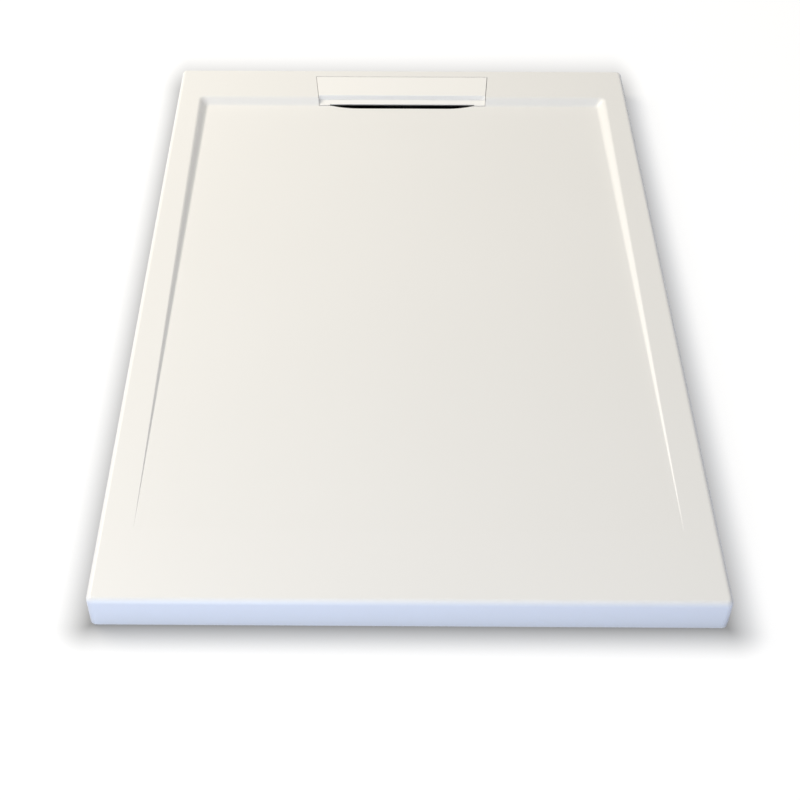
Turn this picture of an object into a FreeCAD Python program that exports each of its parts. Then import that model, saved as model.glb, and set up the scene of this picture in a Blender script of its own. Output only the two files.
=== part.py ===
import FreeCAD, Part
import math
import os
import Sketcher

# A cast mineral-resin shower tray with a walk-in front, a concealed channel drain at the back
# and a lift-off cover. X runs across the tray, +Y towards the drain, +Z up.
# The origin is at the middle of the underside.

os.makedirs("parts", exist_ok=True)
doc = FreeCAD.newDocument("shower_tray")
V = FreeCAD.Vector

SIZES = {
    # tray casting
    "tray_width": 800,
    "tray_length": 1200,
    "tray_height": 50,
    "corner_radius": 9,
    "rim_edge_radius": 7,
    "base_chamfer": 1.5,
    # basin: its floor leaves the rim level behind the entry strip and falls to the drain
    "entry_strip": 110,
    "side_border": 46,
    "back_border": 94.5,
    "basin_depth": 11.3,
    "wall_run": 17,
    "foot_corner_radius": 5,
    "rim_corner_radius": 11,
    "fall_start": 8,
    # hollow underside
    "floor_thickness": 12,
    "skirt_thickness": 35,
    "rib_thickness": 12,
    "pocket_columns": 7,
    "pocket_rows": 10,
    "pocket_corner_cut": 6,
    "drain_block_half_width": 170,
    # seat for the cover, a notch in the back rim
    "seat_back_distance": 22.5,
    "seat_length": 78.2,
    "seat_front_width": 296,
    "seat_back_width": 311,
    "cover_side_gap": 0.8,
    "cover_back_gap": 0.9,
    "cover_front_gap": 0.8,
    # channel below the cover and its slot in front of it
    "channel_width": 257,
    "slot_width": 6.8,
    "slot_end_run": 50,
    "slot_end_rise": 9.5,
    "slot_edge": 1,
    "slot_edge_angle": 45,
    "back_shelf": 9.5,
    "channel_corner_radius": 10,
    # cover
    "cover_thickness": 16,
    "cover_top_length": 60.5,
    "cover_step_lean": 0.7,
    "cover_step_height": 8,
    "ledge_fall": 2,
    "nose_thickness": 0.8,
    "nose_bevel_run": 5,
    "nose_edge_radius": 0.5,
    "finger_recess_depth": 2.7,
    "step_edge_radius": 2,
    "cover_edge_radius": 0.8,
    "cover_skin": 7,
    "cover_front_wall": 4.5,
    "cover_back_wall": 9,
    "cover_end_wall": 30,
    "cover_rib": 6,
    "cover_recesses": 3,
    "recess_corner_radius": 4,
    # bumpers below the cover
    "bumper_radius": 6,
    "bumper_height": 2,
    "bumper_inset": 8,
    # waste fitting
    "tail_base_clearance": 1,
    "tail_below_nut": 0.2,
    "nut_height": 7,
    "slip_ring_height": 0.8,
    "lower_seal_height": 2,
    "waste_wall": 7,
    "upper_seal_height": 2,
    "flange_height": 3,
    "flange_radius": 35,
    "flange_edge_cut": 1,
    "flange_clearance": 0.5,
    "tail_radius": 23.9,
    "thread_clearance": 0.1,
    "tray_hole_radius": 25.5,
    "seal_fit": 0.2,
    "upper_seal_radius": 34.5,
    "lower_seal_radius": 32,
    "slip_ring_radius": 30,
    "nut_radius": 28.5,
    "nut_lug_radius": 31,
    "nut_lug_width": 7,
    "nut_lugs": 8,
    "nut_bay_half_width": 55,
    "nut_bay_setback": 2,
    "nut_bay_corner_radius": 12,
    "socket_radius": 20.25,
    "socket_length": 13,
    "seal_groove_depth": 1.75,
    "pipe_seal_height": 4,
    "pipe_seal_inset": 5,
    "throat_radius": 19.6,
    # hair strainer
    "strainer_clearance": 0.3,
    "strainer_rim_width": 3.6,
    "strainer_rim_height": 1.3,
    "strainer_rim_sink": 0.2,
    "strainer_cup_depth": 6.2,
    "strainer_wall": 1.3,
    "strainer_slots": 12,
    "strainer_slot_width": 1.8,
    "strainer_hub_radius": 4.5,
    "strainer_slot_margin": 2.2,
    "grip_radius": 2.2,
    "grip_head_radius": 4,
    "grip_head_height": 1.6,
    "grip_height": 5,
}

WALL_LEVELS = 8   # steps of the loft from the basin's floor up to its rim
PAST = 5          # how far a cutting outline runs past the material that it cuts
CLOSE = 0.01      # two places nearer to each other than this are the same

sheet = doc.addObject("Spreadsheet::Sheet", "Sizes")
for row, (name, value) in enumerate(SIZES.items(), start=1):
    sheet.set(f"A{row}", name)
    sheet.set(f"B{row}", str(value))
    sheet.setAlias(f"B{row}", name)
doc.recompute()


class Size:
    """A number that keeps its formula over the sheet's cells beside its present value."""

    def __init__(self, formula, value):
        self.formula = formula
        self.value = value

    def joined(self, sign, other, value):
        return Size(f"({self.formula} {sign} {size(other).formula})", value)

    def __add__(self, other):
        return self.joined("+", other, self.value + size(other).value)

    def __sub__(self, other):
        return self.joined("-", other, self.value - size(other).value)

    def __mul__(self, other):
        return self.joined("*", other, self.value * size(other).value)

    def __truediv__(self, other):
        return self.joined("/", other, self.value / size(other).value)

    def __neg__(self):
        return Size(f"(-1 * {self.formula})", -self.value)


def size(number):
    """Any number as a Size."""
    return number if isinstance(number, Size) else Size(repr(float(number)), float(number))


def cell(name):
    """The named cell of the sheet."""
    return Size(f"Sizes.{name}", float(SIZES[name]))


def arctangent(rise, run):
    """The angle in degrees of a slope."""
    ratio = rise / run
    return Size(f"(atan({ratio.formula}) / (1 deg))", math.degrees(math.atan(ratio.value)))


def bind(thing, path, number):
    """Sets a property through its formula."""
    thing.setExpression(path, size(number).formula)


# ---------------------------------------------------------------- sketches and features

def new_body(label, x=0, y=0, z=0):
    """An empty body whose place follows the sheet."""
    body = doc.addObject("PartDesign::Body", label)
    body.Label = label
    bind(body, "Placement.Base.x", x)
    bind(body, "Placement.Base.y", y)
    bind(body, "Placement.Base.z", z)
    return body


def plane_of(body, role):
    """One of the body's own origin planes or axes."""
    return next(item for item in body.Origin.OriginFeatures if item.Role == role)


def new_sketch(body, name, role="XY_Plane", height=0):
    """A sketch on an origin plane of the body, moved along the plane's normal."""
    sketch = body.newObject("Sketcher::SketchObject", name)
    sketch.AttachmentSupport = [(plane_of(body, role), "")]
    sketch.MapMode = "FlatFace"
    bind(sketch, "AttachmentOffset.Base.z", height)
    return sketch


def constrain(sketch, kind, *references, to=None):
    """Adds a constraint and, where it has a size, binds it to its formula."""
    if to is None:
        return sketch.addConstraint(Sketcher.Constraint(kind, *references))
    value = math.radians(size(to).value) if kind == "Angle" else size(to).value
    index = sketch.addConstraint(Sketcher.Constraint(kind, *references, value))
    bind(sketch, f"Constraints[{index}]", to)
    return index


def pin(sketch, line, end, x, y):
    """Holds one end of an edge at its distances from the sketch's origin."""
    constrain(sketch, "DistanceX", -1, 1, line, end, to=x)
    constrain(sketch, "DistanceY", -1, 1, line, end, to=y)


def polygon(sketch, corners):
    """A closed outline of straight edges through corners given as pairs of sizes."""
    corners = [(size(x), size(y)) for x, y in corners]
    points = [V(x.value, y.value, 0) for x, y in corners]
    count = len(points)
    for start in range(count):
        edge = Part.LineSegment(points[start], points[(start + 1) % count])
        sketch.addGeometry(edge, False)
    for start in range(count):
        constrain(sketch, "Coincident", start, 2, (start + 1) % count, 1)
        pin(sketch, start, 1, *corners[start])


def rectangle(sketch, left, right, front, back):
    """A rectangle between four sides."""
    polygon(sketch, [(left, front), (right, front), (right, back), (left, back)])


def cut_rectangle(sketch, left, right, front, back, cut):
    """A rectangle between four sides with its corners cut off."""
    polygon(sketch, [(left + cut, front), (right - cut, front), (right, front + cut),
                     (right, back - cut), (right - cut, back), (left + cut, back),
                     (left, back - cut), (left, front + cut)])


def rounded_rectangle(sketch, left, right, front, back, radius):
    """A rectangle between four sides with one radius at every corner."""
    left, right, front, back, radius = map(size, (left, right, front, back, radius))
    x0, x1, y0, y1 = left.value, right.value, front.value, back.value
    r = radius.value
    edges = [(x0 + r, y0, x1 - r, y0), (x1, y0 + r, x1, y1 - r),
             (x1 - r, y1, x0 + r, y1), (x0, y1 - r, x0, y0 + r)]
    for ax, ay, bx, by in edges:
        sketch.addGeometry(Part.LineSegment(V(ax, ay, 0), V(bx, by, 0)), False)
    centres = [(x1 - r, y0 + r), (x1 - r, y1 - r), (x0 + r, y1 - r), (x0 + r, y0 + r)]
    for quarter, (cx, cy) in enumerate(centres):
        start = (quarter - 1) * math.pi / 2
        circle = Part.Circle(V(cx, cy, 0), V(0, 0, 1), r)
        sketch.addGeometry(Part.ArcOfCircle(circle, start, start + math.pi / 2), False)
    for quarter in range(4):
        constrain(sketch, "Tangent", quarter, 2, 4 + quarter, 1)
        constrain(sketch, "Tangent", 4 + quarter, 2, (quarter + 1) % 4, 1)
    for edge, kind in enumerate(["Horizontal", "Vertical", "Horizontal", "Vertical"]):
        constrain(sketch, kind, edge)
    for arc in (5, 6, 7):
        constrain(sketch, "Equal", 4, arc)
    constrain(sketch, "Radius", 4, to=radius)
    constrain(sketch, "DistanceX", -1, 1, 3, 1, to=left)
    constrain(sketch, "DistanceX", -1, 1, 1, 1, to=right)
    constrain(sketch, "DistanceY", -1, 1, 0, 1, to=front)
    constrain(sketch, "DistanceY", -1, 1, 2, 1, to=back)


def circle(sketch, radius, x=0, y=0):
    """A full circle about a point."""
    radius, x, y = map(size, (radius, x, y))
    index = sketch.addGeometry(
        Part.Circle(V(x.value, y.value, 0), V(0, 0, 1), radius.value), False)
    constrain(sketch, "Radius", index, to=radius)
    pin(sketch, index, 3, x, y)


def feature(body, kind, name, sketch, **settings):
    """A feature made from a sketch."""
    made = body.newObject(f"PartDesign::{kind}", name)
    made.Profile = sketch
    for key, value in settings.items():
        if isinstance(value, Size):
            bind(made, key, value)
        else:
            setattr(made, key, value)
    sketch.Visibility = False
    doc.recompute()
    return made


def pad(body, name, sketch, length, **settings):
    return feature(body, "Pad", name, sketch, Length=size(length), **settings)


def pocket(body, name, sketch, depth, **settings):
    """Cuts against the sketch's normal."""
    before = body.Shape.Volume
    made = feature(body, "Pocket", name, sketch, Length=size(depth), **settings)
    if body.Shape.Volume >= before:
        raise RuntimeError(f"{name} cuts nothing")
    return made


def revolve(body, name, corners):
    """A solid of revolution about the body's upright axis, from radius and height pairs."""
    sketch = new_sketch(body, name + "_profile", "XZ_Plane")
    polygon(sketch, corners)
    return feature(body, "Revolution", name, sketch,
                   ReferenceAxis=(sketch, ["V_Axis"]), Angle=360)


def pattern(body, kind, name, originals, axis, **settings):
    """Repeats features about or along one of the body's origin axes."""
    made = body.newObject(f"PartDesign::{kind}", name)
    made.Originals = originals
    direction = "Axis" if kind == "PolarPattern" else "Direction"
    setattr(made, direction, (plane_of(body, axis), [""]))
    for key, value in settings.items():
        if isinstance(value, Size):
            bind(made, key, value)
        else:
            setattr(made, key, value)
    body.Tip = made
    doc.recompute()
    return made


def edges_where(shape, test):
    """The names of the edges whose ends and middle all pass a test."""
    names = []
    for index, edge in enumerate(shape.Edges, start=1):
        middle = edge.valueAt((edge.FirstParameter + edge.LastParameter) / 2)
        if all(test(point) for point in [middle] + [end.Point for end in edge.Vertexes]):
            names.append(f"Edge{index}")
    return names


def soften(body, kind, name, radius, test):
    """Rounds or chamfers the edges that a test picks from the body's present shape."""
    base = body.Tip
    names = edges_where(base.Shape, test)
    if not names:
        raise RuntimeError(f"{name} finds no edge")
    made = body.newObject(f"PartDesign::{kind}", name)
    made.Base = (base, names)
    bind(made, "Radius" if kind == "Fillet" else "Size", radius)
    doc.recompute()
    return made


def near(a, b):
    """Whether two distances are the same."""
    return abs(a - b) < CLOSE


# ---------------------------------------------------------------- shared places

half_width = cell("tray_width") / 2
half_length = cell("tray_length") / 2
rim_z = cell("tray_height")

# Waste fitting, stacked up from the base plane.
tail_end_z = cell("tail_base_clearance")
nut_z = tail_end_z + cell("tail_below_nut")
slip_ring_z = nut_z + cell("nut_height")
lower_seal_z = slip_ring_z + cell("slip_ring_height")
waste_underside_z = lower_seal_z + cell("lower_seal_height")
waste_seat_z = waste_underside_z + cell("waste_wall")
flange_z = waste_seat_z + cell("upper_seal_height")
channel_floor_z = flange_z + cell("flange_height")

# Seat of the cover, in plan.
seat_back_y = half_length - cell("seat_back_distance")
seat_front_y = seat_back_y - cell("seat_length")
cover_underside_z = rim_z - cell("cover_thickness")
shelf_z = cover_underside_z - cell("bumper_height")
channel_front_y = seat_front_y - cell("slot_width")
channel_back_y = seat_back_y - cell("back_shelf")
channel_half = cell("channel_width") / 2
waste_y = (channel_front_y + channel_back_y) / 2

# Basin.
apex_y = cell("entry_strip") - half_length
wall_foot_y = half_length - cell("back_border") - cell("wall_run") / 2
fall_length = wall_foot_y - apex_y
basin_half_width = half_width - cell("side_border")


# ---------------------------------------------------------------- tray casting

def wall_outline(sketch, spread, corner_radius):
    """One level of the basin's wall: straight sides that meet their fellows of the other
    levels where the fall begins, a straight back, and round back corners."""
    sideways = cell("wall_run") * spread
    lean = arctangent(sideways, fall_length)
    front = cell("fall_start")
    front_half = basin_half_width + sideways * front / fall_length
    back = fall_length + cell("wall_run") * (spread + 0.5)
    half = basin_half_width.value + sideways.value * back.value / fall_length.value
    r = corner_radius.value
    f, b, w = front.value, back.value, front_half.value
    lines = [(-w, f, w, f), (w, f, half, b - r), (half - r, b, r - half, b), (-half, b - r, -w, f)]
    for ax, ay, bx, by in lines:
        sketch.addGeometry(Part.LineSegment(V(ax, ay, 0), V(bx, by, 0)), False)
    for centre, start in ((half - r, 0), (r - half, math.pi / 2)):
        whole = Part.Circle(V(centre, b - r, 0), V(0, 0, 1), r)
        sketch.addGeometry(Part.ArcOfCircle(whole, start, start + math.pi / 2), False)
    constrain(sketch, "Coincident", 0, 2, 1, 1)
    constrain(sketch, "Coincident", 3, 2, 0, 1)
    constrain(sketch, "Tangent", 1, 2, 4, 1)
    constrain(sketch, "Tangent", 4, 2, 2, 1)
    constrain(sketch, "Tangent", 2, 2, 5, 1)
    constrain(sketch, "Tangent", 5, 2, 3, 1)
    constrain(sketch, "Horizontal", 2)
    constrain(sketch, "Equal", 4, 5)
    constrain(sketch, "Radius", 4, to=corner_radius)
    pin(sketch, 0, 1, -front_half, front)
    pin(sketch, 0, 2, front_half, front)
    constrain(sketch, "DistanceY", -1, 1, 2, 1, to=back)
    constrain(sketch, "Angle", 1, to=size(90) - lean)
    constrain(sketch, "Angle", 3, to=lean - 90)


def cut_basin(body):
    """The basin: planes hinged on the line where its floor leaves the rim level, each with
    an outline of its own, so that the wall is an S in section and fades towards the front."""
    levels = []
    for level in range(WALL_LEVELS + 1):
        climb = level / WALL_LEVELS
        share = (1 + math.cos(math.pi * climb)) / 2
        radius = (cell("foot_corner_radius") * (1 - climb)
                  + cell("rim_corner_radius") * climb)
        sketch = new_sketch(body, f"basin_level_{level}", height=rim_z)
        sketch.AttachmentOffset = FreeCAD.Placement(
            V(0, 0, 0), FreeCAD.Rotation(V(1, 0, 0), -1))
        bind(sketch, "AttachmentOffset.Base.y", apex_y)
        bind(sketch, "AttachmentOffset.Base.z", rim_z)
        bind(sketch, "AttachmentOffset.Rotation.Angle",
             -arctangent(cell("basin_depth") * share, fall_length))
        wall_outline(sketch, climb - 0.5, radius)
        levels.append(sketch)
    feature(body, "SubtractiveLoft", "basin", levels[0], Sections=levels[1:], Ruled=True)


def hollow_underside(body):
    """A grid of moulded pockets that leaves a floor of even strength, a skirt and ribs, with
    two more pockets on each side of the solid block below the drain."""
    ceiling_z = rim_z - cell("basin_depth") - cell("floor_thickness")
    skirt, rib = cell("skirt_thickness"), cell("rib_thickness")
    corner = cell("pocket_corner_cut")
    block = cell("drain_block_half_width")
    pair = (half_width - skirt - block - rib) / 2
    for name, start in (("inner", block), ("outer", block + pair + rib)):
        sketch = new_sketch(body, f"back_pocket_{name}_outline")
        cut_rectangle(sketch, start, start + pair, channel_front_y, half_length - skirt, corner)
        cut = pocket(body, f"back_pocket_{name}", sketch, ceiling_z, Reversed=True)
        mirror = body.newObject("PartDesign::Mirrored", f"back_pocket_{name}_mirror")
        mirror.Originals = [cut]
        mirror.MirrorPlane = (plane_of(body, "YZ_Plane"), [""])
        body.Tip = mirror
        doc.recompute()
    columns, rows = cell("pocket_columns"), cell("pocket_rows")
    column_step = (cell("tray_width") - skirt * 2 + rib) / columns
    row_step = (channel_front_y + half_length - skirt) / rows
    left, front = skirt - half_width, skirt - half_length
    sketch = new_sketch(body, "underside_pocket_outline")
    cut_rectangle(sketch, left, left + column_step - rib, front, front + row_step - rib, corner)
    first = pocket(body, "underside_pocket", sketch, ceiling_z, Reversed=True)
    grid = body.newObject("PartDesign::MultiTransform", "underside_pockets")
    across = body.newObject("PartDesign::LinearPattern", "pockets_across")
    along = body.newObject("PartDesign::LinearPattern", "pockets_along")
    for one, axis, step, count in ((across, "X_Axis", column_step, columns),
                                   (along, "Y_Axis", row_step, rows)):
        one.Direction = (plane_of(body, axis), [""])
        bind(one, "Length", step * (count - 1))
        bind(one, "Occurrences", count)
    grid.Originals = [first]
    grid.Transformations = [across, along]
    body.Tip = grid
    doc.recompute()


def channel_outline(sketch, reach=0):
    """The channel in plan, grown by a reach: a straight front that bends back to the sides in
    two long arcs, straight sides, and round back corners."""
    run, rise = cell("slot_end_run"), cell("slot_end_rise")
    bend = (run * run + rise * rise) / (rise * 2) + reach
    straight = channel_half - run
    half, front = channel_half + reach, channel_front_y - reach
    radius = cell("channel_corner_radius") + reach
    s, x, y, b = straight.value, half.value, front.value, channel_back_y.value
    big, r = bend.value, radius.value
    turn = math.asin((x - s) / big)
    side_y = y + big * (1 - math.cos(turn))
    down = -math.pi / 2
    lines = [(-s, y, s, y), (x, side_y, x, b - r), (x - r, b, r - x, b), (-x, b - r, -x, side_y)]
    for ax, ay, bx, by in lines:
        sketch.addGeometry(Part.LineSegment(V(ax, ay, 0), V(bx, by, 0)), False)
    arcs = [(s, y + big, big, down, down + turn), (x - r, b - r, r, 0, -down),
            (r - x, b - r, r, -down, math.pi), (-s, y + big, big, down - turn, down)]
    for cx, cy, arc_radius, start, end in arcs:
        whole = Part.Circle(V(cx, cy, 0), V(0, 0, 1), arc_radius)
        sketch.addGeometry(Part.ArcOfCircle(whole, start, end), False)
    chain = [("Tangent", 0, 4), ("Coincident", 4, 1), ("Tangent", 1, 5), ("Tangent", 5, 2),
             ("Tangent", 2, 6), ("Tangent", 6, 3), ("Coincident", 3, 7), ("Tangent", 7, 0)]
    for kind, before, after in chain:
        constrain(sketch, kind, before, 2, after, 1)
    constrain(sketch, "Vertical", 1)
    constrain(sketch, "Vertical", 3)
    constrain(sketch, "Horizontal", 2)
    constrain(sketch, "Equal", 4, 7)
    constrain(sketch, "Equal", 5, 6)
    constrain(sketch, "Radius", 4, to=bend)
    constrain(sketch, "Radius", 5, to=radius)
    constrain(sketch, "DistanceX", -1, 1, 1, 1, to=half)
    constrain(sketch, "DistanceX", -1, 1, 3, 1, to=-half)
    constrain(sketch, "DistanceY", -1, 1, 2, 1, to=channel_back_y)
    pin(sketch, 0, 1, -straight, front)
    pin(sketch, 0, 2, straight, front)


def cut_drain(body):
    """Cover seat, channel with a bevelled mouth, waste seat and hole, and the bay for the nut
    below."""
    sketch = new_sketch(body, "seat_outline", height=rim_z)
    front_half, back_half = cell("seat_front_width") / 2, cell("seat_back_width") / 2
    polygon(sketch, [(-front_half, seat_front_y), (front_half, seat_front_y),
                     (back_half, seat_back_y), (-back_half, seat_back_y)])
    pocket(body, "cover_seat", sketch, rim_z - shelf_z)
    sketch = new_sketch(body, "channel_outline", height=rim_z)
    channel_outline(sketch)
    pocket(body, "channel", sketch, rim_z - channel_floor_z)
    edge = cell("slot_edge")
    reach = edge * 2
    floor_z = rim_z - cell("basin_depth") * (channel_front_y - apex_y) / fall_length
    sketch = new_sketch(body, "slot_edge_outline", height=floor_z + edge)
    channel_outline(sketch, reach)
    pocket(body, "slot_edge", sketch, reach, TaperAngle=-cell("slot_edge_angle"))
    sketch = new_sketch(body, "waste_seat_outline", height=channel_floor_z)
    circle(sketch, cell("flange_radius") + cell("flange_clearance"), 0, waste_y)
    pocket(body, "waste_seat", sketch, channel_floor_z - waste_seat_z)
    sketch = new_sketch(body, "waste_hole_outline", height=waste_seat_z)
    circle(sketch, cell("tray_hole_radius"), 0, waste_y)
    pocket(body, "waste_hole", sketch, waste_seat_z)
    sketch = new_sketch(body, "nut_bay_outline")
    bay = cell("nut_bay_half_width")
    rounded_rectangle(sketch, -bay, bay, channel_front_y + cell("nut_bay_setback"),
                      channel_back_y, cell("nut_bay_corner_radius"))
    pocket(body, "nut_bay", sketch, waste_underside_z, Reversed=True)


def make_tray_body():
    body = new_body("tray_body")
    sketch = new_sketch(body, "outer_outline")
    rounded_rectangle(sketch, -half_width, half_width, -half_length, half_length,
                      cell("corner_radius"))
    pad(body, "slab", sketch, rim_z)
    top = rim_z.value
    soften(body, "Fillet", "rim_edge", cell("rim_edge_radius"), lambda p: near(p.z, top))
    soften(body, "Chamfer", "base_edge", cell("base_chamfer"), lambda p: near(p.z, 0))
    cut_basin(body)
    cut_drain(body)
    hollow_underside(body)
    return body


# ---------------------------------------------------------------- cover

def cover_half_width(y):
    """Half the cover's width at a place along the seat: half the seat's, less the side gap."""
    front, back = cell("seat_front_width") / 2, cell("seat_back_width") / 2
    return front + (back - front) * (y - seat_front_y) / cell("seat_length") - cell("cover_side_gap")


cover_front_y = seat_front_y + cell("cover_front_gap")
cover_back_y = seat_back_y - cell("cover_back_gap")
step_y = cover_back_y - cell("cover_top_length")
ledge_back_z = rim_z - cell("cover_step_height")
ledge_front_z = ledge_back_z - cell("ledge_fall")
nose_z = ledge_front_z - cell("nose_thickness")


def make_drain_cover():
    """Lift-off cover: flush with the rim, stepped down to a ledge that carries on the floor,
    with a thin nose that is set back over the slot for the water and the fingertips."""
    body = new_body("drain_cover")
    front_half, back_half = cover_half_width(cover_front_y), cover_half_width(cover_back_y)
    sketch = new_sketch(body, "cover_outline", height=cover_underside_z)
    polygon(sketch, [(-front_half, cover_front_y), (front_half, cover_front_y),
                     (back_half, cover_back_y), (-back_half, cover_back_y)])
    pad(body, "cover_slab", sketch, cell("cover_thickness"))
    sketch = new_sketch(body, "step_outline", "YZ_Plane")
    polygon(sketch, [(cover_front_y - PAST, ledge_front_z),
                     (cover_front_y, ledge_front_z),
                     (step_y - cell("cover_step_lean"), ledge_back_z),
                     (step_y, rim_z),
                     (step_y, rim_z + PAST),
                     (cover_front_y - PAST, rim_z + PAST)])
    pocket(body, "step", sketch, cell("seat_back_width"), Midplane=True)
    sketch = new_sketch(body, "nose_bevel_outline", "YZ_Plane")
    polygon(sketch, [(cover_front_y - PAST, nose_z),
                     (cover_front_y, nose_z),
                     (cover_front_y + cell("nose_bevel_run"), cover_underside_z),
                     (cover_front_y + cell("nose_bevel_run"), cover_underside_z - PAST),
                     (cover_front_y - PAST, cover_underside_z - PAST)])
    pocket(body, "nose_bevel", sketch, cell("seat_back_width"), Midplane=True)
    top, step, front = rim_z.value, step_y.value, cover_front_y.value
    roll = cell("step_edge_radius")
    soften(body, "Fillet", "step_roll", roll, lambda p: near(p.z, top) and near(p.y, step))
    soften(body, "Fillet", "top_edge", cell("cover_edge_radius"),
           lambda p: near(p.z, top) and p.y > step + roll.value / 2)
    soften(body, "Fillet", "nose_edge", cell("nose_edge_radius"),
           lambda p: near(p.z, ledge_front_z.value) and near(p.y, front))
    sketch = new_sketch(body, "finger_recess_outline", "YZ_Plane")
    recess_y = cover_front_y + cell("finger_recess_depth")
    polygon(sketch, [(cover_front_y - PAST, rim_z),
                     (recess_y, rim_z),
                     (recess_y, nose_z),
                     (recess_y + cell("nose_bevel_run"), cover_underside_z),
                     (recess_y + cell("nose_bevel_run"), cover_underside_z - PAST),
                     (cover_front_y - PAST, cover_underside_z - PAST)])
    pocket(body, "finger_recess", sketch, cell("channel_width"), Midplane=True)
    soften(body, "Fillet", "recess_edge", cell("nose_edge_radius"),
           lambda p: near(p.y, recess_y.value) and p.z > ledge_front_z.value)
    hollow_cover(body)
    return body


def hollow_cover(body):
    """A row of moulded recesses below the cover's flush part, with ribs between them."""
    end_half = cell("seat_front_width") / 2 - cell("cover_end_wall")
    rib, count = cell("cover_rib"), cell("cover_recesses")
    recess = (end_half * 2 - rib * (count - 1)) / count
    sketch = new_sketch(body, "recess_outline", height=cover_underside_z)
    rounded_rectangle(sketch, -end_half, recess - end_half, step_y + cell("cover_front_wall"),
                      cover_back_y - cell("cover_back_wall"), cell("recess_corner_radius"))
    first = pocket(body, "recess", sketch, cell("cover_thickness") - cell("cover_skin"),
                   Reversed=True)
    pattern(body, "LinearPattern", "recesses", [first], "X_Axis",
            Length=(recess + rib) * (count - 1), Occurrences=count)


def make_bumpers():
    """Four soft buttons below the cover, which stand on the seat's end shelves."""
    front_y = cover_front_y + cell("nose_bevel_run") + cell("bumper_inset")
    back_y = cover_back_y - cell("bumper_inset")
    body = new_body("cover_bumpers")
    body.AllowCompound = True
    sketch = new_sketch(body, "bumper_outlines", height=shelf_z)
    for y in (front_y, back_y):
        x = cover_half_width(y) - cell("bumper_inset")
        circle(sketch, cell("bumper_radius"), x, y)
        circle(sketch, cell("bumper_radius"), -x, y)
    pad(body, "bumpers", sketch, cell("bumper_height"))
    return body


# ---------------------------------------------------------------- waste fitting

def ring(label, inner, outer, low, high):
    """A flat ring about the waste's axis."""
    body = new_body(label, y=waste_y)
    revolve(body, "ring", [(inner, low), (outer, low), (outer, high), (inner, high)])
    return body


socket = cell("socket_radius")
tail = cell("tail_radius")
socket_end_z = tail_end_z + cell("socket_length")
groove_z = tail_end_z + cell("pipe_seal_inset")
groove_top_z = groove_z + cell("pipe_seal_height")
rim_seat_z = channel_floor_z - cell("strainer_rim_height") - cell("strainer_rim_sink")
rim_radius = cell("throat_radius") + cell("strainer_rim_width")


def make_waste_flange():
    """Flange and threaded tail in one, with a socket for the trap's pipe in its lower end
    and a seat for the hair strainer in its top."""
    body = new_body("waste_flange", y=waste_y)
    groove = socket + cell("seal_groove_depth")
    recess = rim_radius + cell("strainer_clearance")
    outer, cut = cell("flange_radius"), cell("flange_edge_cut")
    revolve(body, "flange_and_tail", [
        (socket, tail_end_z), (tail, tail_end_z), (tail, flange_z), (outer, flange_z),
        (outer, channel_floor_z - cut), (outer - cut, channel_floor_z),
        (recess, channel_floor_z), (recess, rim_seat_z), (cell("throat_radius"), rim_seat_z),
        (cell("throat_radius"), socket_end_z), (socket, socket_end_z), (socket, groove_top_z),
        (groove, groove_top_z), (groove, groove_z), (socket, groove_z)])
    return body


def make_lock_nut():
    """Back nut with grip lugs, screwed up the tail against the slip ring."""
    body = new_body("lock_nut", y=waste_y)
    bore = tail + cell("thread_clearance")
    revolve(body, "nut", [(bore, nut_z), (cell("nut_radius"), nut_z),
                          (cell("nut_radius"), slip_ring_z), (bore, slip_ring_z)])
    sketch = new_sketch(body, "lug_outline", height=nut_z)
    lug = cell("nut_lug_width") / 2
    rectangle(sketch, (bore + cell("nut_radius")) / 2, cell("nut_lug_radius"), -lug, lug)
    first = pad(body, "lug", sketch, cell("nut_height"))
    pattern(body, "PolarPattern", "lugs", [first], "Z_Axis",
            Angle=360, Occurrences=cell("nut_lugs"))
    return body


def make_hair_strainer():
    """Cup with a slotted bottom and a grip to lift it by, hung in the flange by its rim."""
    body = new_body("hair_strainer", y=waste_y)
    wall, grip = cell("strainer_wall"), cell("grip_radius")
    cup = cell("throat_radius") - cell("strainer_clearance")
    rim_top_z = rim_seat_z + cell("strainer_rim_height")
    bottom_z = rim_seat_z - cell("strainer_cup_depth")
    floor_z = bottom_z + wall
    head_z = rim_top_z + cell("grip_height") - cell("grip_head_height")
    revolve(body, "cup_and_grip", [
        (0, bottom_z), (cup, bottom_z), (cup, rim_seat_z), (rim_radius, rim_seat_z),
        (rim_radius, rim_top_z), (cup - wall, rim_top_z), (cup - wall, floor_z),
        (grip, floor_z), (grip, head_z), (cell("grip_head_radius"), head_z),
        (cell("grip_head_radius"), head_z + cell("grip_head_height")),
        (0, head_z + cell("grip_head_height"))])
    sketch = new_sketch(body, "slot_outline", height=floor_z)
    half = cell("strainer_slot_width") / 2
    rectangle(sketch, cell("strainer_hub_radius"), cup - cell("strainer_slot_margin"),
              -half, half)
    first = pocket(body, "slot", sketch, wall)
    pattern(body, "PolarPattern", "slots", [first], "Z_Axis",
            Angle=360, Occurrences=cell("strainer_slots"))
    return body


# ---------------------------------------------------------------- build and export

made = [
    make_tray_body(),
    make_drain_cover(),
    make_bumpers(),
    make_waste_flange(),
    ring("flange_seal", tail + cell("seal_fit"), cell("upper_seal_radius"),
         waste_seat_z, flange_z),
    ring("lower_seal", tail + cell("seal_fit"), cell("lower_seal_radius"),
         lower_seal_z, waste_underside_z),
    ring("slip_ring", tail + cell("seal_fit"), cell("slip_ring_radius"),
         slip_ring_z, lower_seal_z),
    make_lock_nut(),
    ring("pipe_seal", socket, socket + cell("seal_groove_depth"), groove_z, groove_top_z),
    make_hair_strainer(),
]

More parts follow.
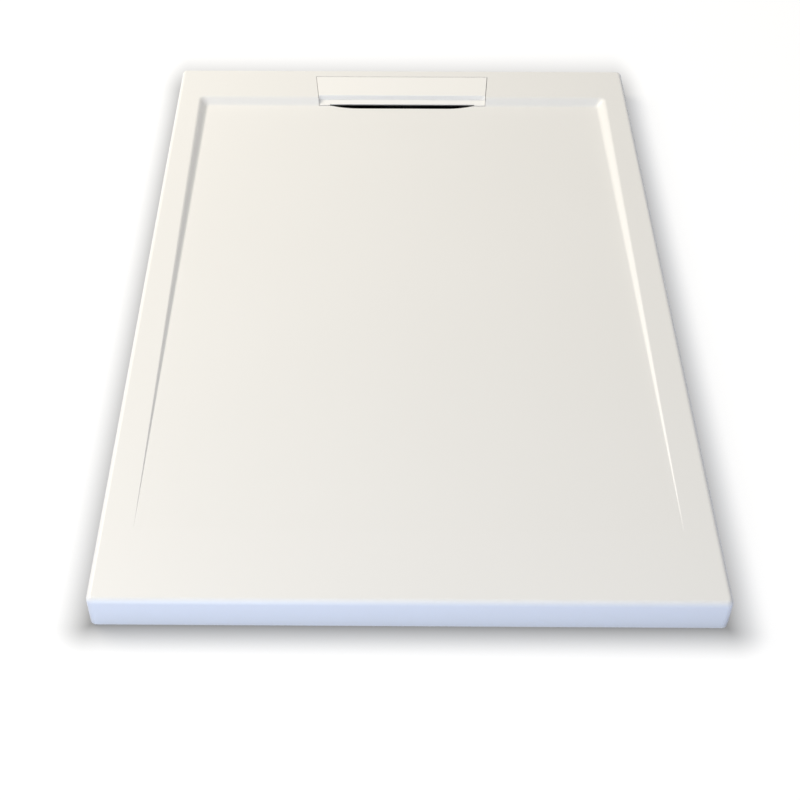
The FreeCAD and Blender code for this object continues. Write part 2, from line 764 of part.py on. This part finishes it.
doc.recompute()
for item in doc.Objects:
    if {"Invalid", "Error"} & set(item.State):
        raise RuntimeError(f"{item.Label} failed: {item.State}")
for part in made:
    if part.Shape.isNull() or not part.Shape.isValid():
        raise RuntimeError(f"{part.Label} has no valid shape")
for part in made:
    part.Shape.exportStep(f"parts/{part.Label}.step")
    print(part.Label, len(part.Shape.Solids), round(part.Shape.Volume))
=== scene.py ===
import functools
import math

import bpy
from mathutils import Matrix, Vector


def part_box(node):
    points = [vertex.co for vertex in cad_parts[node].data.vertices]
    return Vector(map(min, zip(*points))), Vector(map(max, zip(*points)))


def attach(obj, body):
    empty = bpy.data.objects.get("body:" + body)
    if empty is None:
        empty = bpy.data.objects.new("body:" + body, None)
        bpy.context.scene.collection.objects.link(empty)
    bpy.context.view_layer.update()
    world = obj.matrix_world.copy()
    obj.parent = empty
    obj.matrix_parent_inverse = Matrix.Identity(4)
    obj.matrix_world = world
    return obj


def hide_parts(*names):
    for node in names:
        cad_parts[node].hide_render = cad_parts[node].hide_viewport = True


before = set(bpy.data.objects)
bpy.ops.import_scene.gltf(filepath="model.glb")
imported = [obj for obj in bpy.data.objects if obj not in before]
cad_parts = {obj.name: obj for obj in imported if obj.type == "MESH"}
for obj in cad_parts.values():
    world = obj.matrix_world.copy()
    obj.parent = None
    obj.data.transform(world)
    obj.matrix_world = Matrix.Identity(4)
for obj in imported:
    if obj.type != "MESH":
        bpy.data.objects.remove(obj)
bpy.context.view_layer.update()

# The tray itself: one casting of stone flour in polyester resin, with a satin gelcoat on all
# that shows from above. Its underside stays as it comes out of the mould, and the channel
# below the cover is painted near black, a painted shade for the dark under the cover. It
# lies on its skirt and ribs.


class Wire:
    """One output socket of a finish. An expression on wires adds its Math nodes."""

    def __init__(self, finish, socket):
        self.finish = finish
        self.socket = socket

    def beside(self, output):
        """Another output of the same node."""
        return Wire(self.finish, self.socket.node.outputs[output])

    def maths(self, operation, *terms):
        return self.finish.node("ShaderNodeMath", {"operation": operation}, dict(enumerate(terms)))

    def __add__(self, other):
        return self.maths("ADD", self, other)

    def __radd__(self, other):
        return self.maths("ADD", other, self)

    def __sub__(self, other):
        return self.maths("SUBTRACT", self, other)

    def __rsub__(self, other):
        return self.maths("SUBTRACT", other, self)

    def __mul__(self, other):
        return self.maths("MULTIPLY", self, other)

    def __rmul__(self, other):
        return self.maths("MULTIPLY", other, self)

    def __truediv__(self, other):
        return self.maths("DIVIDE", self, other)

    def __rtruediv__(self, other):
        return self.maths("DIVIDE", other, self)

    def __pow__(self, other):
        return self.maths("POWER", self, other)

    def __rpow__(self, other):
        return self.maths("POWER", other, self)

    def __gt__(self, other):
        return self.maths("GREATER_THAN", self, other)

    def __lt__(self, other):
        return self.maths("LESS_THAN", self, other)

    def __or__(self, other):
        """Either of two masks."""
        return self.maths("MAXIMUM", self, other)

    def __ror__(self, other):
        return self.maths("MAXIMUM", other, self)

    def __abs__(self):
        return self.maths("ABSOLUTE", self)

    def at_least(self, low):
        return self.maths("MAXIMUM", self, low)

    def between(self, low, high):
        return (self > low) * (self < high)


class Finish:
    """A material, or the world's air, made one node at a time."""

    def __init__(self, name, shelf=bpy.data.materials):
        self.made = shelf.new(name)
        self.made.use_nodes = True
        self.tree = self.made.node_tree
        self.tree.nodes.clear()

    def node(self, kind, settings=None, inputs=None, output=0):
        """Adds a node and gives the wire of one of its outputs, if it has any."""
        added = self.tree.nodes.new(kind)
        for name, value in (settings or {}).items():
            setattr(added, name, value)
        for name, value in (inputs or {}).items():
            if isinstance(value, Wire):
                self.tree.links.new(value.socket, added.inputs[name])
            else:
                added.inputs[name].default_value = value
        return Wire(self, added.outputs[output]) if added.outputs else None

    @functools.cached_property
    def place(self):
        """Where a point of the surface is, in metres along the piece's own axes."""
        return self.node("ShaderNodeTexCoord", output="Object")

    def parts(self, vector):
        x = self.node("ShaderNodeSeparateXYZ", {}, {"Vector": vector}, "X")
        return x, x.beside("Y"), x.beside("Z")

    def noise(self, spacing, detail=2.0):
        inputs = {"Vector": self.place, "Scale": 1 / spacing, "Detail": detail}
        return self.node("ShaderNodeTexNoise", {}, inputs)

    def colours(self, share, first, second):
        """A mix of two colours, on the colour sockets of the Mix node."""
        return self.node("ShaderNodeMix", {"data_type": "RGBA"}, {0: share, 6: first, 7: second}, 2)

    def bump(self, height, depth, under=None):
        inputs = {"Height": height, "Distance": depth}
        if under:
            inputs["Normal"] = under
        return self.node("ShaderNodeBump", {}, inputs)

    def mixed(self, share, first, second):
        return self.node("ShaderNodeMixShader", {}, {0: share, 1: first, 2: second})

    def shown(self, shader, output="ShaderNodeOutputMaterial"):
        self.node(output, {}, {"Surface": shader})
        return self.made

    def surface(self, **sockets):
        inputs = {name.replace("_", " "): value for name, value in sockets.items()}
        return self.shown(self.node("ShaderNodeBsdfPrincipled", {}, inputs))


def linear(shade):
    """The linear colour of a shade written as on a screen, from 0 to 255, by the sRGB curve."""
    parts = [value / 255 for value in shade]
    return [p / 12.92 if p <= 0.04045 else ((p + 0.055) / 1.055) ** 2.4 for p in parts] + [1.0]


def tints(shade, step):
    """The linear colours a step lighter and a step darker than a shade."""
    return [linear([value + change for value in shade]) for change in (step, -step)]


def dress(node, material):
    """Gives a CAD node its material."""
    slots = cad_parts[node].data.materials
    slots.clear()
    slots.append(material)


# Shades run from 0 to 255, spacings and depths are in metres.
CLOUD_SPACING, CLOUD_STEP = 0.35, 1.5
CASTING_SHADE, PATCH_SPACING, PATCH_DETAIL, PATCH_STEP = (215, 211, 201), 0.03, 4.0, 9
# Near black for the painted shade in the tray's channel, where it lies dark under the cover.
PAINTED_SHADE_BLACK = (13, 13, 14)
# Roughness of the gelcoat, of its cloud, of the raw casting and of the painted shade.
GELCOAT_ROUGHNESS, CLOUD_ROUGHNESS, RAW_ROUGHNESS, PAINTED_SHADE_ROUGHNESS = 0.34, 0.08, 0.42, 0.1
SWELL_SPACING, SWELL_DEPTH = 0.02, 0.0001
SKIN_SPACING, SKIN_DEPTH = 0.0012, 0.00002
PORE_SPACING, PORE_DETAIL, PORE_DEPTH = 0.005, 5.0, 0.0004
RESIN_IOR = 1.5
FACING_DOWN = -0.3


def cast_resin(name, shade, mould_side, painted_shade=None):
    """Gelcoat above, raw casting where mould_side says so, and near-black painted shade on a mask.
    """
    resin = Finish(name)
    x, y, z = resin.parts(resin.place)
    up = resin.parts(resin.place.beside("Normal"))[2]
    raw = (up < FACING_DOWN) | mould_side(x, y, z)
    cloud = resin.noise(CLOUD_SPACING)
    gelcoat = resin.colours(cloud, *tints(shade, CLOUD_STEP))
    patch = resin.noise(PATCH_SPACING, PATCH_DETAIL)
    casting = resin.colours(patch, *tints(CASTING_SHADE, PATCH_STEP))
    colour = resin.colours(raw, gelcoat, casting)
    roughness = GELCOAT_ROUGHNESS + CLOUD_ROUGHNESS * cloud + RAW_ROUGHNESS * raw
    # Painted shade: near black over the given mask, for the dark of the channel under the cover.
    if painted_shade:
        in_painted_shade = painted_shade(x, y, z)
        colour = resin.colours(in_painted_shade, colour, linear(PAINTED_SHADE_BLACK))
        roughness = roughness + PAINTED_SHADE_ROUGHNESS * in_painted_shade
    swell = resin.bump(resin.noise(SWELL_SPACING), SWELL_DEPTH)
    skin = resin.bump(resin.noise(SKIN_SPACING), SKIN_DEPTH, under=swell)
    pores = resin.bump(raw * resin.noise(PORE_SPACING, PORE_DETAIL), PORE_DEPTH, under=skin)
    return resin.surface(Base_Color=colour, Roughness=roughness, Normal=pores, IOR=RESIN_IOR)


TRAY_SHADE = (242, 241, 238)
tray_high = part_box("tray_body")[1]
SKIRT_INSET = 0.01
CHANNEL_HALF, CHANNEL_FRONT, SEAT_BACK = 0.1285, 0.4920, 0.5776
CHANNEL_MOUTH_Z, CHANNEL_FLOOR_Z = 0.0374, 0.0170


def tray_mould_side(x, y, z):
    """The pockets of the underside, inside the skirt's outer face."""
    across = abs(x) < tray_high.x - SKIRT_INSET
    along = abs(y) < tray_high.y - SKIRT_INSET
    return across * along * (z < CHANNEL_FLOOR_Z)


# Painted shade in the channel below the cover, between its mouth and its floor.
def channel_painted_shade(x, y, z):
    across = abs(x) < CHANNEL_HALF
    along = y.between(CHANNEL_FRONT, SEAT_BACK)
    return across * along * z.between(CHANNEL_FLOOR_Z, CHANNEL_MOUTH_Z)


dress("tray_body", cast_resin("tray_resin", TRAY_SHADE, tray_mould_side, channel_painted_shade))

# The waste flange: moulded in anthracite plastic, with a threaded tail that reaches down
# through the casting and a push-in socket for the trap's pipe. Mottle and grain are the mould's.
MOTTLE_SPACING, MOTTLE_STEP, MOTTLE_ROUGHNESS = 0.012, 3, 0.1
GRAIN_SPACING, GRAIN_DETAIL = 0.0007, 3.0


def moulded(name, shade, roughness, grain_depth):
    moulding = Finish(name)
    mottle = moulding.noise(MOTTLE_SPACING)
    colour = moulding.colours(mottle, *tints(shade, MOTTLE_STEP))
    roughness = roughness + MOTTLE_ROUGHNESS * mottle
    grain = moulding.bump(moulding.noise(GRAIN_SPACING, GRAIN_DETAIL), grain_depth)
    return moulding.surface(Base_Color=colour, Roughness=roughness, Normal=grain)


anthracite = moulded("anthracite_plastic", (38, 39, 41), roughness=0.42, grain_depth=0.00003)
dress("waste_flange", anthracite)

# Three seals of black rubber with a fine matte bloom: a ring under the flange, a ring under the
# casting, and a lip seal in the socket that grips the trap's pipe. All are pressed in a mould.
black_rubber = moulded("black_rubber", (30, 30, 31), roughness=0.62, grain_depth=0.00002)
for seal in ("flange_seal", "lower_seal", "pipe_seal"):
    dress(seal, black_rubber)

# The slip ring: punched from smooth white plastic sheet. It lies between the nut and the lower
# seal, so that the nut turns without dragging the rubber.
white_sheet = moulded("slip_ring_plastic", (232, 232, 229), roughness=0.3, grain_depth=0.00001)
dress("slip_ring", white_sheet)

# The lock nut: moulded in the same anthracite plastic as the flange, with lugs for the hand or
# a wrench. It is screwed up the tail from below and clamps the waste to the casting.
dress("lock_nut", anthracite)

# The hair strainer: a small cup of anthracite plastic that hangs by its rim in the flange,
# with twelve slots between the spokes of its bottom and a knob to lift it by. Moulded in one.
strainer_low, strainer_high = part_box("hair_strainer")
WALL, CUP_DEPTH, RING_WIDTH = 0.0013, 0.0062, 0.0022
CUP_R, HUB_R, GRIP_R, KNOB_R = 0.0193, 0.0045, 0.0022, 0.0040
KNOB_HEIGHT = 0.0016
SPOKES, SLOT_WIDTH = 12, 0.0018
SPOKE_ROOT, SPOKE_HALF_LEAST = 0.0006, 0.0002
TURNS, AXLE_R = 96, 0.0001
EDGE_RADIUS, EDGE_STEPS, SHARP = 0.00025, 2, math.radians(35)

waste_axis = Vector((0.0, (strainer_low.y + strainer_high.y) / 2, 0.0))
bottom_z, top_z, rim_r = strainer_low.z, strainer_high.z, strainer_high.x
floor_z, seat_z, knob_z = bottom_z + WALL, bottom_z + CUP_DEPTH, top_z - KNOB_HEIGHT
rim_z, wall_r, ring_r = seat_z + WALL, CUP_R - WALL, CUP_R - RING_WIDTH


def lathe(profile):
    """Corners and faces of a ring turned from a closed outline of radius and height pairs.
    An outline that would reach the axis stops a hair short of it, at AXLE_R."""
    angles = [2 * math.pi * step / TURNS for step in range(TURNS)]
    corners = [(r * math.cos(a), r * math.sin(a), z) for a in angles for r, z in profile]
    count = len(profile)
    faces = []
    for here in range(0, TURNS * count, count):
        there = (here + count) % (TURNS * count)
        for low in range(count):
            high = (low + 1) % count
            faces.append((here + low, there + low, there + high, here + high))
    return corners, faces


def spoke(angle):
    """One spoke of the bottom, between two slots of even width, rooted in the hub and ring."""
    block = []
    for reach in (HUB_R - SPOKE_ROOT, ring_r + SPOKE_ROOT):
        half = max(math.pi * reach / SPOKES - SLOT_WIDTH / 2, SPOKE_HALF_LEAST)
        block += [(reach, side * half, z) for side in (-1, 1) for z in (bottom_z, floor_z)]
    c, s = math.cos(angle), math.sin(angle)
    corners = [(x * c - y * s, x * s + y * c, z) for x, y, z in block]
    faces = [(0, 1, 3, 2), (4, 6, 7, 5), (0, 4, 5, 1), (2, 3, 7, 6), (0, 2, 6, 4), (1, 5, 7, 3)]
    return corners, faces


def placed(name, data):
    """A new object in the scene, made of a mesh, a lamp or a camera."""
    piece = bpy.data.objects.new(name, data)
    bpy.context.scene.collection.objects.link(piece)
    return piece


cup = lathe([(ring_r, bottom_z), (CUP_R, bottom_z), (CUP_R, seat_z), (rim_r, seat_z),
             (rim_r, rim_z), (wall_r, rim_z), (wall_r, floor_z), (ring_r, floor_z)])
knob = lathe([(AXLE_R, bottom_z), (HUB_R, bottom_z), (HUB_R, floor_z), (GRIP_R, floor_z),
              (GRIP_R, knob_z), (KNOB_R, knob_z), (KNOB_R, top_z), (AXLE_R, top_z)])
spokes = [spoke(2 * math.pi * number / SPOKES) for number in range(SPOKES)]
strainer_corners, strainer_faces = [], []
for shell_corners, shell_faces in (cup, knob, *spokes):
    first = len(strainer_corners)
    strainer_corners += [Vector(corner) + waste_axis for corner in shell_corners]
    strainer_faces += [[first + corner for corner in face] for face in shell_faces]
strainer_mesh = bpy.data.meshes.new("strainer_cup")
strainer_mesh.from_pydata(strainer_corners, [], strainer_faces)
strainer_mesh.shade_smooth()
strainer_mesh.materials.append(anthracite)
strainer = placed("strainer_cup", strainer_mesh)
rounding = strainer.modifiers.new("rounded_edges", "BEVEL")
rounding.width, rounding.segments = EDGE_RADIUS, EDGE_STEPS
rounding.limit_method, rounding.angle_limit = "ANGLE", SHARP
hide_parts("hair_strainer")
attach(strainer, "strainer")

# The cover's bumpers: four soft buttons of clear rubber, glued below its corners. They carry
# it on its seat and keep it from rattling.
BUMPER_SHADE, BUMPER_STEP, HAZE_SPACING = (207, 209, 205), 7, 0.004
BUMPER_ROUGHNESS, BLOOM_ROUGHNESS, BLOOM_SPACING = 0.35, 0.1, 0.003
RUBBER_IOR, RUBBER_CLEARNESS = 1.45, 0.4

clear = Finish("clear_rubber")
clear_colour = clear.colours(clear.noise(HAZE_SPACING), *tints(BUMPER_SHADE, BUMPER_STEP))
clear_roughness = BUMPER_ROUGHNESS + BLOOM_ROUGHNESS * clear.noise(BLOOM_SPACING)
dress("cover_bumpers", clear.surface(Base_Color=clear_colour, Roughness=clear_roughness,
                                     IOR=RUBBER_IOR, Transmission_Weight=RUBBER_CLEARNESS))

# The lift-off cover: cast from the same resin as the tray, with raw mould recesses below. Its
# shade is set a little lighter than the tray's, as painted light. It only lies in its seat.
# Painted light: a shade lighter than the tray's, so that the cover renders brighter.
COVER_PAINTED_LIGHT_SHADE = (251, 250, 247)
RECESS_FRONT, RECESS_BACK, RECESS_CEILING_Z = 0.5200, 0.5680, 0.0435


def cover_mould_side(x, y, z):
    return y.between(RECESS_FRONT, RECESS_BACK) * (z < RECESS_CEILING_Z)


dress("drain_cover", cast_resin("cover_resin", COVER_PAINTED_LIGHT_SHADE, cover_mould_side))

# The studio floor: pale blue paper, which throws its tint on the sides of the tray. To the
# camera it shows white, with the lamps' shadow and a soft painted shadow round the tray's outline.
FLOOR_HALF, FLOOR_Z = 20.0, -0.0004
PAPER_SHADE, SHADOW_SHADE, DARK_SHADE = (170, 188, 237), (149, 149, 149), (0, 0, 0)
WHITE, PAPER_WHITE = (1.0, 1.0, 1.0, 1.0), 0.78
# Painted shadow: its reach beside, before and behind the tray, its darkness and its fall.
SIDE_REACH, FRONT_REACH, BACK_REACH = 0.055, 0.052, 0.15
SHADE_DEPTH, SHADE_FALL = 0.66, 1.5

paper = Finish("studio_paper")


def matte(shade):
    return paper.node("ShaderNodeBsdfDiffuse", {}, {"Color": linear(shade)})


def seen(finish):
    """One where the camera sees a surface itself, in a gloss or through something clear."""
    camera = finish.node("ShaderNodeLightPath", {}, {}, "Is Camera Ray")
    return camera | camera.beside("Is Glossy Ray") | camera.beside("Is Transmission Ray")


white = paper.node("ShaderNodeEmission", {}, {"Color": WHITE, "Strength": PAPER_WHITE})
shown_paper = paper.node("ShaderNodeAddShader", {}, {0: matte(SHADOW_SHADE), 1: white})
plain_paper = paper.mixed(seen(paper), matte(PAPER_SHADE), shown_paper)
paper_x, paper_y = paper.parts(paper.place)[:2]
# Painted shadow: the floor darkens towards the tray's outline, by distance from it alone.
beside_tray = (abs(paper_x) - tray_high.x).at_least(0) / SIDE_REACH
behind_tray = (paper_y - tray_high.y).at_least(0) / BACK_REACH
before_tray = (-tray_high.y - paper_y).at_least(0) / FRONT_REACH
away = (beside_tray ** 2 + behind_tray ** 2 + before_tray ** 2) ** 0.5
painted_contact_shadow = 1 - SHADE_DEPTH * (1 - away).at_least(0) ** SHADE_FALL

floor_mesh = bpy.data.meshes.new("studio_floor")
floor_mesh.from_pydata([(across * FLOOR_HALF, along * FLOOR_HALF, FLOOR_Z)
                        for across, along in ((-1, -1), (1, -1), (1, 1), (-1, 1))],
                       [], [(0, 1, 2, 3)])
floor_mesh.materials.append(paper.shown(paper.mixed(painted_contact_shadow, matte(DARK_SHADE), plain_paper)))
floor = placed("studio_floor", floor_mesh)

# The studio light: a large warm window behind on the left, a small cool lamp low before the
# walk-in edge, a cool one behind the camera, and dim air that shows white to the camera.
AIR_LIGHT, AIR_WHITE = 0.3, 1.0


def lamp(name, place, aim, size, watts, colour):
    light = bpy.data.lights.new(name, "AREA")
    light.size, light.energy, light.color = size, watts, colour
    piece = placed(name, light)
    piece.location = place
    piece.rotation_euler = (Vector(aim) - Vector(place)).to_track_quat("-Z", "Y").to_euler()
    piece.visible_camera = False


lamp("window_light", place=(-2.6, 1.3, 2.9), aim=(0, 0.1, 0),
     size=2.2, watts=126.5, colour=(1.0, 0.936, 0.81))
lamp("low_front_light", place=(-0.6, -2.6, 0.35), aim=(0, -0.6, 0),
     size=0.8, watts=18.1, colour=(0.715, 0.833, 1.0))
lamp("camera_side_light", place=(-0.4, -2.4, 2.2), aim=(0, 0, 0),
     size=1.6, watts=22.1, colour=(0.797, 0.853, 1.0))

air = Finish("studio_air", bpy.data.worlds)
dim, bright = (air.node("ShaderNodeBackground", {}, {"Color": WHITE, "Strength": strength})
               for strength in (AIR_LIGHT, AIR_WHITE))
bpy.context.scene.world = air.shown(air.mixed(seen(air), dim, bright), "ShaderNodeOutputWorld")

# The camera stands in front of the walk-in edge, a little to the left of its middle, and looks
# down at about 45 degrees. Its place and lens are fitted to the tray's edges in the photograph.
CAMERA_PLACE = (-0.0394, -1.6381, 1.4521)
LOOK_DOWN, TURN = math.radians(45.28), math.radians(0.41)
LENS_MM, SENSOR_MM, SIDE_SHIFT = 63.27, 36.0, 0.0358

camera_data = bpy.data.cameras.new("camera")
camera_data.lens, camera_data.sensor_width, camera_data.shift_x = LENS_MM, SENSOR_MM, SIDE_SHIFT
camera = placed("camera", camera_data)
camera.matrix_world = (Matrix.Translation(CAMERA_PLACE)
                       @ Matrix.Rotation(TURN, 4, "Z")
                       @ Matrix.Rotation(math.pi / 2 - LOOK_DOWN, 4, "X"))
bpy.context.scene.camera = camera
bpy.context.scene.view_settings.view_transform = "Standard"
